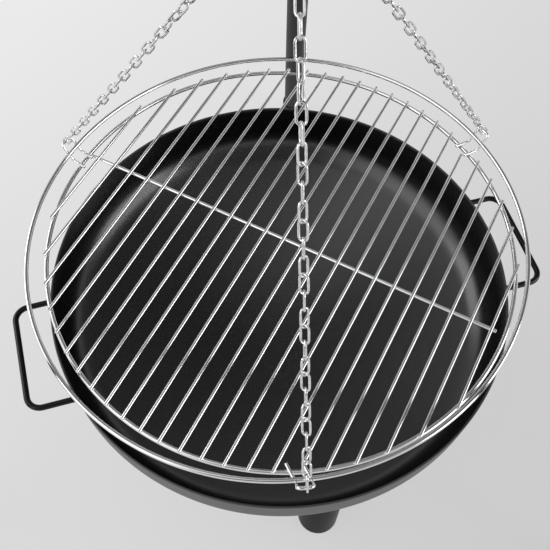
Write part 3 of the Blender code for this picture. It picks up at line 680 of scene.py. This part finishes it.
ZINC, tone, place, shader = finish("zinc_plate", metallic=1.0)
spangle = tone.noise(place, 350.0, 3.0)
fine = tone.noise(place, 2600.0, 2.0)
put(tone, shader, spangle.ease(0.3, 0.7).blend((0.60, 0.61, 0.63, 1), (0.72, 0.73, 0.74, 1)),
    0.22 + (spangle - 0.5) * 0.16 + (fine - 0.5) * 0.06, fine, 0.08, 0.0002)
around = 2 * np.pi * np.arange(48) / 48
hexagon = HALF_FLATS / np.cos((around + np.pi / 6) % (np.pi / 3) - np.pi / 6)
for name, azimuth in LEG_AZIMUTHS.items():
    distance = down_to(PLATE_LOW) + SCREW_DOWN
    out = leg_place(azimuth, distance, 1.0) - leg_place(azimuth, distance)
    down = leg_place(azimuth, 1.0) - leg_place(azimuth, 0.0)
    circle = np.cos(around)[:, None] * down + np.sin(around)[:, None] * np.cross(out, down)
    tip = leg_place(azimuth, distance, LEG + AIR)
    shank = [(0.0, 0.0), (SCREW_POINT, 0.0), (SCREW, 0.0006)]
    for number, lift in enumerate(np.arange(THREAD_START, THREAD_END, THREAD_PITCH / 2)):
        shank.append((SCREW - THREAD_DEPTH * (number % 2), lift))
    shank += [(SCREW, SCREW_SHANK), (0.0010, SCREW_SHANK), (0.0, SCREW_SHANK)]
    rows = [tip + lift * out + radius * circle for radius, lift in shank]
    low = tip + SCREW_SHANK * out
    head_rows = [np.broadcast_to(low, circle.shape), low + WASHER_FACE * circle]
    head_rows.append(low + WASHER_HEIGHT * out + WASHER_FACE * circle)
    for lift, trim in (
        (WASHER_HEIGHT, 0.0070), (0.0008, 0.0076), (0.0045, 0.0076), (0.0053, 0.0067), (0.0055, 0.0060),
    ):
        head_rows.append(low + lift * out + np.minimum(hexagon, trim)[:, None] * circle)
    middle = low + TURNED_FACE * out
    head_rows += [middle + 0.0040 * circle, np.broadcast_to(middle, circle.shape)]
    piece(f"screw_{name}_hexagon", [np.stack(rows), np.stack(head_rows)], ZINC, "stand",
          [f"leg_screw_{name}"])


# A bent steel pin lies across the hole in the head and goes through one link of the hoist chain.
# Moving it to another link sets the height of the grate; its bent end is the grip.
PIN = 0.0025
PIN_HALF = 0.030
PIN_GRIP = 0.014
PIN_BEND = 0.005
PIN_HEIGHT = PLATE_TOP + PIN + AIR
corners = [(0, -PIN_HALF, 0), (0, PIN_HALF, 0), (0, PIN_HALF, PIN_GRIP)]
path = spread(bent(corners, PIN_BEND, 8) + [0, AXIS_Y, PIN_HEIGHT], 0.004)
piece("pin_rod", [wire(path, PIN, 20, (1, 0, 0), chamfer=0.35)], ZINC, "pin",
      ["chain_pin"])


# The chains are short-link steel chain, 2.5 mm wire, each link butt-welded on one side and the whole
# polished bright. The hoist chain runs from the pin down to a ring that takes the grate's chains.
CHAIN_WIRE = 0.00125
CHAIN_PITCH = 0.017
CHAIN_WIDTH = 0.0112
CHAIN_REACH = 0.0016
LINK_WELD = 0.0011
LINK_WELD_SWELL = 0.13
LOOSE_DEGREES = 5
RING_MEAN = 0.0175
RING_WIRE = 0.0025
RING_SEAM = 0.0016
RING_SEAM_SWELL = 0.06
RING_SEAM_TURN = math.radians(200)
HOIST_STEPS = 37
SPARE_LINKS = 3
RING_TOP = PIN_HEIGHT - (
    (HOIST_STEPS + 1) * CHAIN_PITCH - (CHAIN_REACH + PIN + AIR) - (RING_WIRE + CHAIN_REACH + AIR)
)
RING_CENTRE = RING_TOP - RING_MEAN


def link_path(pitch):
    """Points round a link: two half circles joined by straight sides, long along X, flat in XY."""
    half_width = CHAIN_WIDTH / 2 - CHAIN_WIRE
    straight = pitch / 2 + CHAIN_WIRE - half_width
    turn = np.linspace(-np.pi / 2, np.pi / 2, 10)
    bow = np.stack([straight + half_width * np.cos(turn), half_width * np.sin(turn), 0 * turn], axis=-1)
    side = np.linspace(1, -1, 7)[1:-1]
    flank = np.stack([straight * side, 0 * side + half_width, 0 * side], axis=-1)
    return np.concatenate([bow, flank, -bow, -flank])


def chain_links(low_end, high_end, low_normal, high_normal, seed, step=90.0, drift=((0, 0.0),)):
    """Rows of points of every link of a taut chain whose end wires pass through two points.

    The links share the length evenly, and each is turned a step from the last, with a little
    looseness. The drift gives extra turns at some links, and what the top link still needs is
    shared out above the last of these.
    """
    along = np.asarray(high_end, float) - low_end
    length = np.linalg.norm(along)
    along = along / length
    count = round((length - 2 * CHAIN_WIRE) / CHAIN_PITCH)
    pitch = (length - 2 * CHAIN_WIRE) / count
    normals = np.asarray([low_normal, high_normal], float)
    normals -= (normals @ along)[:, None] * along
    first, last = normals / np.linalg.norm(normals, axis=1, keepdims=True)
    places, extra = zip(*drift)
    wanted = math.degrees(math.atan2(np.cross(first, last) @ along, first @ last)) - (count - 1) * step
    final = extra[-1] + (wanted - extra[-1] + 90) % 180 - 90
    number = np.arange(count)
    loose = np.random.default_rng(seed).uniform(-1, 1, count) * LOOSE_DEGREES
    loose[[0, -1]] = 0
    turn = np.radians(number * step + np.interp(number, [*places, count - 1], [*extra, final]) + loose)
    normal = np.cos(turn)[:, None] * first + np.sin(turn)[:, None] * np.cross(along, first)
    middle = low_end + along * (pitch / 2 + CHAIN_WIRE + number * pitch)[:, None]
    path = link_path(pitch)
    weld = np.exp(-((path[:, 0] / LINK_WELD) ** 2)) * (path[:, 1] > 0)
    link = wire(path, CHAIN_WIRE, 10, (0, 0, 1), closed=True, swell=1 + LINK_WELD_SWELL * weld)
    width = np.cross(normal, along)
    frames = np.stack([np.broadcast_to(along, normal.shape), width, normal], axis=1)
    return list(np.einsum("rck,nkj->nrcj", link, frames) + middle[:, None, None])


CHAIN_STEEL, tone, place, shader = finish("chain_steel", metallic=1.0)
blotch = tone.noise(place, 260.0, 2.0)
rub = tone.noise(place, 1800.0, 3.0)
put(tone, shader, blotch.ease(0.3, 0.7).blend((0.72, 0.72, 0.73, 1), (0.86, 0.86, 0.87, 1)),
    0.20 + (blotch - 0.5) * 0.14 + (rub - 0.5) * 0.08, rub + blotch, 0.10, 0.0002)
low = np.array([0, AXIS_Y, RING_TOP - RING_WIRE - CHAIN_REACH - AIR])
high = low + [0, 0, (HOIST_STEPS + 1 + SPARE_LINKS) * CHAIN_PITCH + 2 * CHAIN_WIRE]
piece("hoist_links", chain_links(low, high, (1, 0, 0), (1, 0, 0), 3), CHAIN_STEEL, "hoist",
      ["hoist_chain"])

turn = 2 * np.pi * np.arange(72) / 72
circle = np.stack([np.cos(turn), 0 * turn, np.sin(turn)], axis=-1)
path = RING_MEAN * circle + [0, AXIS_Y, RING_CENTRE]
seam = np.exp(-(((turn - RING_SEAM_TURN) * RING_MEAN / RING_SEAM) ** 2))
ring = wire(path, RING_WIRE, 20, (0, 1, 0), closed=True, swell=1 + RING_SEAM_SWELL * seam)
piece("hanger_ring", [ring], ZINC, "hoist", ["hanging_ring"])


# The grate is resistance-welded from round wire and chrome-plated: a ring, straight bars on it all
# one way, a rod across under them, and a wider ring on the brackets that keeps food from rolling off.
GRATE_HEIGHT = RIM_HEIGHT + 0.0876
GRATE_TURN = math.radians(6.0)
BARS_BACK = math.radians(30.0)
BARS_TURN = GRATE_TURN - BARS_BACK
GRATE_RADIUS = 0.285
RAISED_RADIUS = 0.2977
RAISED_LEVEL = 0.0185
RING_ROD = 0.00275
BAR_ROD = 0.002
BAR_PITCH = 0.02437
BAR_LEVEL = RING_ROD + BAR_ROD + AIR
FULL_REACH = GRATE_RADIUS + RING_ROD
SHORT_REACH = 0.274
SHORT_BAR_OFFSET = round(GRATE_RADIUS / 2 / BAR_PITCH) * BAR_PITCH
CROSS_ROD = 0.00225
CROSS_LEVEL = BAR_LEVEL - BAR_ROD - CROSS_ROD - AIR
CROSS_LEAN = math.radians(0.38)
CROSS_OFFSET = 0.0065
CROSS_LONG_END = RING_ROD + 0.0009 - GRATE_RADIUS
CROSS_SHORT_END = GRATE_RADIUS - 0.0105

CHROME, tone, place, shader = finish("chrome_plate", metallic=1.0)
wrap = tone.node("ShaderNodeUVMap")
lines = tone.noise(tone.node("ShaderNodeMapping", {"Vector": wrap, "Scale": (30.0, 26.0, 1.0)}), 1.0, 3.0)
mist = tone.noise(place, 45.0, 3.0)
put(tone, shader, mist.ease(0.3, 0.75).blend((0.84, 0.84, 0.85, 1), (0.92, 0.92, 0.93, 1)),
    0.12 + (mist - 0.5) * 0.06 + (lines - 0.5) * 0.05, lines, 0.02, 0.0002)


def on_grate(points, angle):
    """Points of the grate's own plane, turned about the axis and lifted to the grate."""
    return about_upright(points, angle) + [0, AXIS_Y, GRATE_HEIGHT]


def raised_reach(turn):
    """Distance of the raised ring from the axis: round, 4.5 mm off centre and 4.8 mm oval."""
    off_centre = 0.0045 * np.cos(turn - math.radians(221))
    return RAISED_RADIUS + off_centre + 0.0048 * np.cos(2 * (turn - math.radians(33.5)))


def chromed(name, path, radius, sides, square, node, **ends):
    """A piece of chromed wire on the grate, along a path."""
    piece(name, [wire(path, radius, sides, square, **ends)], CHROME, "grate", [node])


turn = 2 * np.pi * np.arange(240) / 240
circle = np.stack([np.cos(turn), np.sin(turn), 0 * turn], axis=-1)
path = on_grate(GRATE_RADIUS * circle, GRATE_TURN)
chromed("ring_wire", path, RING_ROD, 20, (0, 0, 1), "grate_ring", closed=True)
path = on_grate(raised_reach(turn)[:, None] * circle + [0, 0, RAISED_LEVEL], GRATE_TURN)
chromed("raised_ring_wire", path, RING_ROD, 20, (0, 0, 1), "raised_ring", closed=True)

for number in range(-11, 12):
    offset = number * BAR_PITCH
    reach = SHORT_REACH if abs(offset - SHORT_BAR_OFFSET) < BAR_PITCH / 2 else FULL_REACH
    half = math.sqrt(reach**2 - offset**2)
    path = on_grate(spread([(offset, -half, BAR_LEVEL), (offset, half, BAR_LEVEL)], 0.02), BARS_TURN)
    label = f"{number + 12:02d}"
    chromed(f"bar_{label}", path, BAR_ROD, 16, (0, 0, 1), f"grate_bar_{label}", chamfer=0.3)
ends = [end * math.cos(CROSS_LEAN) for end in (CROSS_LONG_END, CROSS_SHORT_END)]
path = spread([(end, CROSS_OFFSET + end * math.tan(CROSS_LEAN), CROSS_LEVEL) for end in ends], 0.02)
chromed("cross_wire", on_grate(path, BARS_TURN), CROSS_ROD, 16, (0, 0, 1), "cross_rod", chamfer=0.3)


# Three brackets of bent 4 mm wire tie the rings together: two prongs lie on the lower ring, two arms
# lean out past the raised ring, and the sagging bow between their tips takes a chain's last link.
BRACKET_ROD = 0.002
BRACKET_START = 0.276
BRACKET_HALF = 0.0087
BRACKET_LEAN = math.radians(30.0)
BRACKET_BEND = 0.004
BOW_SAG = 0.002
PRONG_LEVEL = RING_ROD + BRACKET_ROD + AIR
CREST = PRONG_LEVEL + 0.0225
up = np.array([0, 0, 1.0])
off_axis = math.asin(SHORT_BAR_OFFSET / ((BRACKET_START + GRATE_RADIUS) / 2))
for name, azimuth, skew, seat_aside, sweep, seed, step, drift in (
    ("left", math.pi + math.radians(1.3), math.radians(-10), 0.0, math.radians(-40), 11, 90.0,
     ((0, 0), (15, 0), (17, 12), (19, 28), (21, 48))),
    ("front", off_axis - math.pi / 2, math.radians(22), 0.0015, 0.0, 12, 60.0,
     ((0, 0), (20, 0), (22, 14), (24, 30), (27, 48))),
    ("right", math.pi / 2 - off_axis, math.radians(-5), 0.0, math.radians(40), 13, 90.0,
     ((0, 0), (2, 24), (5, 42), (8, 30), (11, 12))),
):
    turn = azimuth - BARS_BACK
    out = np.array([math.cos(turn), math.sin(turn), 0.0])
    side = np.array([-math.sin(turn), math.cos(turn), 0.0])
    halves, tips = [], []
    for aside in (-BRACKET_HALF, BRACKET_HALF):
        there = turn + math.atan2(aside, RAISED_RADIUS)
        touch = (BRACKET_ROD + RING_ROD + AIR) / math.cos(BRACKET_LEAN)
        beside = raised_reach(there) * math.cos(there - turn) + touch
        bend = beside - (RAISED_LEVEL - PRONG_LEVEL) * math.tan(BRACKET_LEAN)
        tip = beside + (CREST - RAISED_LEVEL) * math.tan(BRACKET_LEAN)
        skewed = aside - (bend - BRACKET_START) * math.tan(skew)
        tips.append(tip)
        halves.append([
            out * BRACKET_START + side * skewed + up * PRONG_LEVEL,
            out * bend + side * aside + up * PRONG_LEVEL, out * tip + side * aside + up * CREST,
        ])
    seat = out * sum(tips) / 2 + side * seat_aside + up * (CREST - BOW_SAG)
    corners = halves[0] + [seat] + halves[1][::-1]
    path = on_grate(spread(bent(corners, BRACKET_BEND, 6), 0.004), GRATE_TURN)
    out_there, side_there = about_upright([out, side], GRATE_TURN)
    chromed(f"bracket_{name}_wire", path, BRACKET_ROD, 20, out_there - up, f"bracket_{name}", chamfer=0.3)

    eye = on_grate(seat, GRATE_TURN)
    hold = np.array([RING_MEAN * math.sin(sweep), AXIS_Y, RING_CENTRE - RING_MEAN * math.cos(sweep)])
    along = (hold - eye) / np.linalg.norm(hold - eye)
    low = eye - along * (BRACKET_ROD + CHAIN_REACH + AIR)
    high = hold + along * (RING_WIRE + CHAIN_REACH + AIR)
    tangent = (math.cos(sweep), 0, math.sin(sweep))
    links = chain_links(low, high, side_there, tangent, seed, step, drift)
    piece(f"chain_{name}_links", links, CHAIN_STEEL, "grate", [f"grate_chain_{name}"])
